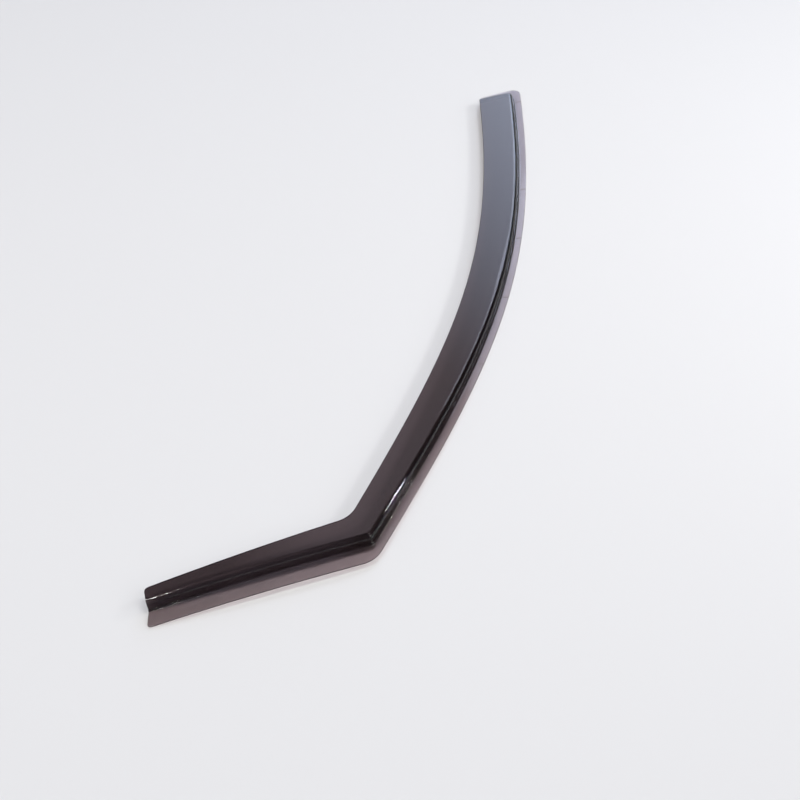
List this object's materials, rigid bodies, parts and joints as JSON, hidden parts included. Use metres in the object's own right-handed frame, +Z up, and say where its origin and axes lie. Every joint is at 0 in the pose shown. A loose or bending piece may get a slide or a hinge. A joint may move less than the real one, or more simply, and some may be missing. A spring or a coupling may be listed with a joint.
{
  "type": "window rain deflector",
  "caption": "Smoked clear one-piece strip with a long curved leg, an elbow and a short leg: a raised shade above a thin flange that tucks into a door window channel to shed rain.",
  "frame": {"origin": "middle of the footprint, on the floor the part lies on", "axes": "+X along the long leg from the elbow to the tabbed end, +Y from the long flange towards the short leg's tip, +Z up out of the shade's outer face"},
  "size_m": [0.989, 0.2778, 0.02],
  "materials": {
    "smoked_acrylic": "smoked clear sheet, polished, thinner and paler at the flange"
  },
  "bodies": {
    "root": {"rain_deflector": "smoked_acrylic"}
  },
  "joints": []
}
